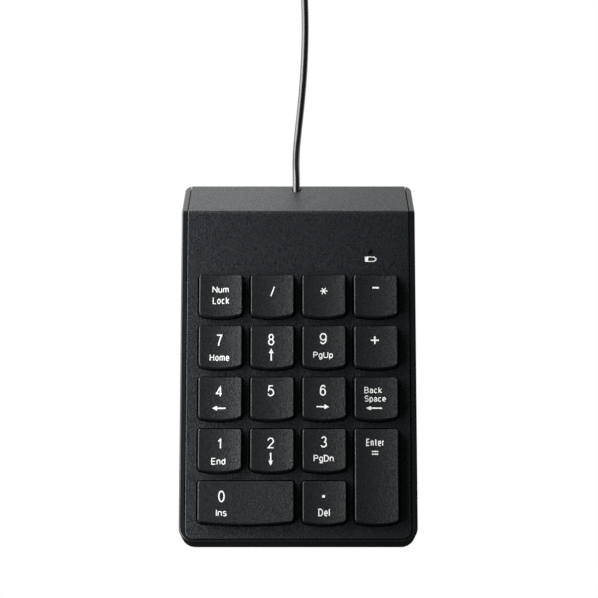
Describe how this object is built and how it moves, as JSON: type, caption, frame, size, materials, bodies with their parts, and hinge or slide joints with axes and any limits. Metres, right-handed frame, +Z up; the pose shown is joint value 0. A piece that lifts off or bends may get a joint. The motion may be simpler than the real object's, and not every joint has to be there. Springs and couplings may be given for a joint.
{
  "type": "numeric keypad",
  "caption": "Corded numeric keypad with a sloping deck, dished low-profile keys over silicone domes, an inset top cover in a tray case and a USB lead.",
  "frame": {"origin": "middle of the keypad's footprint, on the surface the feet stand on", "axes": "+X to the user's right, +Y to the back where the cord leaves, +Z up"},
  "size_m": [0.1148, 0.2887, 0.026],
  "materials": {
    "case_plastic": "fine spark texture, satin black",
    "key_plastic": "fine texture, satin black",
    "silicone": "translucent milky silicone",
    "membrane_film": "clear polyester film",
    "steel_plate": "zinc-coated sheet",
    "board_green": "solder mask",
    "chip_black": "moulded epoxy",
    "component_tan": "ceramic",
    "socket_white": "nylon",
    "led_clear": "clear resin",
    "light_pipe_smoke": "smoked acrylic",
    "clamp_plastic": "moulded",
    "strip_rubber": "soft rubber",
    "screw_steel": "zinc plated",
    "feet_rubber": "matt rubber",
    "label_film": "blank satin silver film",
    "relief_rubber": "moulded PVC",
    "lead_jacket": "thin PVC",
    "cord_jacket": "glossy PVC",
    "tie_plastic": "plastic-covered wire",
    "plug_plastic": "moulded PVC",
    "plug_metal": "nickel plated",
    "tongue_white": "moulded",
    "contact_gold": "gold flash",
    "wire_steel": "drawn wire"
  },
  "bodies": {
    "case": {"bottom_case": "case_plastic", "top_case": "case_plastic", "rubber_domes": "silicone", "membrane_upper": "membrane_film", "membrane_spacer": "membrane_film", "membrane_lower": "membrane_film", "support_plate": "steel_plate", "circuit_board": "board_green", "controller_chip": "chip_black", "board_components": "component_tan", "lead_socket": "socket_white", "status_led": "led_clear", "light_pipe": "light_pipe_smoke", "clamp_bar": "clamp_plastic", "pressure_strip": "strip_rubber", "case_screws": "screw_steel", "clamp_screws": "screw_steel", "board_screws": "screw_steel", "rubber_feet": "feet_rubber", "rating_label": "label_film", "strain_relief": "relief_rubber", "leads": "lead_jacket", "cord": "cord_jacket", "cord_coil": "cord_jacket", "cord_tail": "cord_jacket", "cord_tie": "tie_plastic", "plug_grip": "plug_plastic", "plug_shell": "plug_metal", "plug_tongue": "tongue_white", "plug_contacts": "contact_gold"},
    "key_num_lock": {"key_num_lock": "key_plastic"},
    "key_divide": {"key_divide": "key_plastic"},
    "key_multiply": {"key_multiply": "key_plastic"},
    "key_minus": {"key_minus": "key_plastic"},
    "key_7": {"key_7": "key_plastic"},
    "key_8": {"key_8": "key_plastic"},
    "key_9": {"key_9": "key_plastic"},
    "key_plus": {"key_plus": "key_plastic"},
    "key_4": {"key_4": "key_plastic"},
    "key_5": {"key_5": "key_plastic"},
    "key_6": {"key_6": "key_plastic"},
    "key_backspace": {"key_backspace": "key_plastic"},
    "key_1": {"key_1": "key_plastic"},
    "key_2": {"key_2": "key_plastic"},
    "key_3": {"key_3": "key_plastic"},
    "key_enter": {"key_enter": "key_plastic"},
    "key_0": {"key_0": "key_plastic"},
    "key_decimal": {"key_decimal": "key_plastic"},
    "stabiliser_wire_0": {"stabiliser_wire_0": "wire_steel"},
    "stabiliser_wire_enter": {"stabiliser_wire_enter": "wire_steel"}
  },
  "joints": [
    {"name": "key_num_lock_press", "type": "slide", "parent": "case", "child": "key_num_lock", "axis": [0, 0.1045, -0.9945], "range_m": [0, 0.0028], "stiffness_N_per_m": 150, "springref_m": -0.001, "deforming": ["rubber_domes"]},
    {"name": "key_divide_press", "type": "slide", "parent": "case", "child": "key_divide", "axis": [0, 0.1045, -0.9945], "range_m": [0, 0.0028], "stiffness_N_per_m": 150, "springref_m": -0.001, "deforming": ["rubber_domes"]},
    {"name": "key_multiply_press", "type": "slide", "parent": "case", "child": "key_multiply", "axis": [0, 0.1045, -0.9945], "range_m": [0, 0.0028], "stiffness_N_per_m": 150, "springref_m": -0.001, "deforming": ["rubber_domes"]},
    {"name": "key_minus_press", "type": "slide", "parent": "case", "child": "key_minus", "axis": [0, 0.1045, -0.9945], "range_m": [0, 0.0028], "stiffness_N_per_m": 150, "springref_m": -0.001, "deforming": ["rubber_domes"]},
    {"name": "key_7_press", "type": "slide", "parent": "case", "child": "key_7", "axis": [0, 0.1045, -0.9945], "range_m": [0, 0.0028], "stiffness_N_per_m": 150, "springref_m": -0.001, "deforming": ["rubber_domes"]},
    {"name": "key_8_press", "type": "slide", "parent": "case", "child": "key_8", "axis": [0, 0.1045, -0.9945], "range_m": [0, 0.0028], "stiffness_N_per_m": 150, "springref_m": -0.001, "deforming": ["rubber_domes"]},
    {"name": "key_9_press", "type": "slide", "parent": "case", "child": "key_9", "axis": [0, 0.1045, -0.9945], "range_m": [0, 0.0028], "stiffness_N_per_m": 150, "springref_m": -0.001, "deforming": ["rubber_domes"]},
    {"name": "key_plus_press", "type": "slide", "parent": "case", "child": "key_plus", "axis": [0, 0.1045, -0.9945], "range_m": [0, 0.0028], "stiffness_N_per_m": 150, "springref_m": -0.001, "deforming": ["rubber_domes"]},
    {"name": "key_4_press", "type": "slide", "parent": "case", "child": "key_4", "axis": [0, 0.1045, -0.9945], "range_m": [0, 0.0028], "stiffness_N_per_m": 150, "springref_m": -0.001, "deforming": ["rubber_domes"]},
    {"name": "key_5_press", "type": "slide", "parent": "case", "child": "key_5", "axis": [0, 0.1045, -0.9945], "range_m": [0, 0.0028], "stiffness_N_per_m": 150, "springref_m": -0.001, "deforming": ["rubber_domes"]},
    {"name": "key_6_press", "type": "slide", "parent": "case", "child": "key_6", "axis": [0, 0.1045, -0.9945], "range_m": [0, 0.0028], "stiffness_N_per_m": 150, "springref_m": -0.001, "deforming": ["rubber_domes"]},
    {"name": "key_backspace_press", "type": "slide", "parent": "case", "child": "key_backspace", "axis": [0, 0.1045, -0.9945], "range_m": [0, 0.0028], "stiffness_N_per_m": 150, "springref_m": -0.001, "deforming": ["rubber_domes"]},
    {"name": "key_1_press", "type": "slide", "parent": "case", "child": "key_1", "axis": [0, 0.1045, -0.9945], "range_m": [0, 0.0028], "stiffness_N_per_m": 150, "springref_m": -0.001, "deforming": ["rubber_domes"]},
    {"name": "key_2_press", "type": "slide", "parent": "case", "child": "key_2", "axis": [0, 0.1045, -0.9945], "range_m": [0, 0.0028], "stiffness_N_per_m": 150, "springref_m": -0.001, "deforming": ["rubber_domes"]},
    {"name": "key_3_press", "type": "slide", "parent": "case", "child": "key_3", "axis": [0, 0.1045, -0.9945], "range_m": [0, 0.0028], "stiffness_N_per_m": 150, "springref_m": -0.001, "deforming": ["rubber_domes"]},
    {"name": "key_enter_press", "type": "slide", "parent": "case", "child": "key_enter", "axis": [0, 0.1045, -0.9945], "range_m": [0, 0.0028], "stiffness_N_per_m": 150, "springref_m": -0.001, "deforming": ["rubber_domes"]},
    {"name": "key_0_press", "type": "slide", "parent": "case", "child": "key_0", "axis": [0, 0.1045, -0.9945], "range_m": [0, 0.0028], "stiffness_N_per_m": 150, "springref_m": -0.001, "deforming": ["rubber_domes"]},
    {"name": "key_decimal_press", "type": "slide", "parent": "case", "child": "key_decimal", "axis": [0, 0.1045, -0.9945], "range_m": [0, 0.0028], "stiffness_N_per_m": 150, "springref_m": -0.001, "deforming": ["rubber_domes"]},
    {"name": "stabiliser_wire_0_swing", "type": "hinge", "parent": "case", "child": "stabiliser_wire_0", "pos_m": [-0.019, -0.05675, 0.01159], "axis": [1, 0, 0], "range_deg": [-23.08, 0]},
    {"name": "stabiliser_wire_enter_swing", "type": "hinge", "parent": "case", "child": "stabiliser_wire_enter", "pos_m": [0.02684, -0.04561, 0.01276], "axis": [0, -0.9945, -0.1045], "range_deg": [-23.08, 0]}
  ],
  "couplings": [
    {"joint": "stabiliser_wire_0_swing", "follows": "key_0_press", "rad_per_m": -143.83},
    {"joint": "stabiliser_wire_enter_swing", "follows": "key_enter_press", "rad_per_m": -143.83}
  ]
}
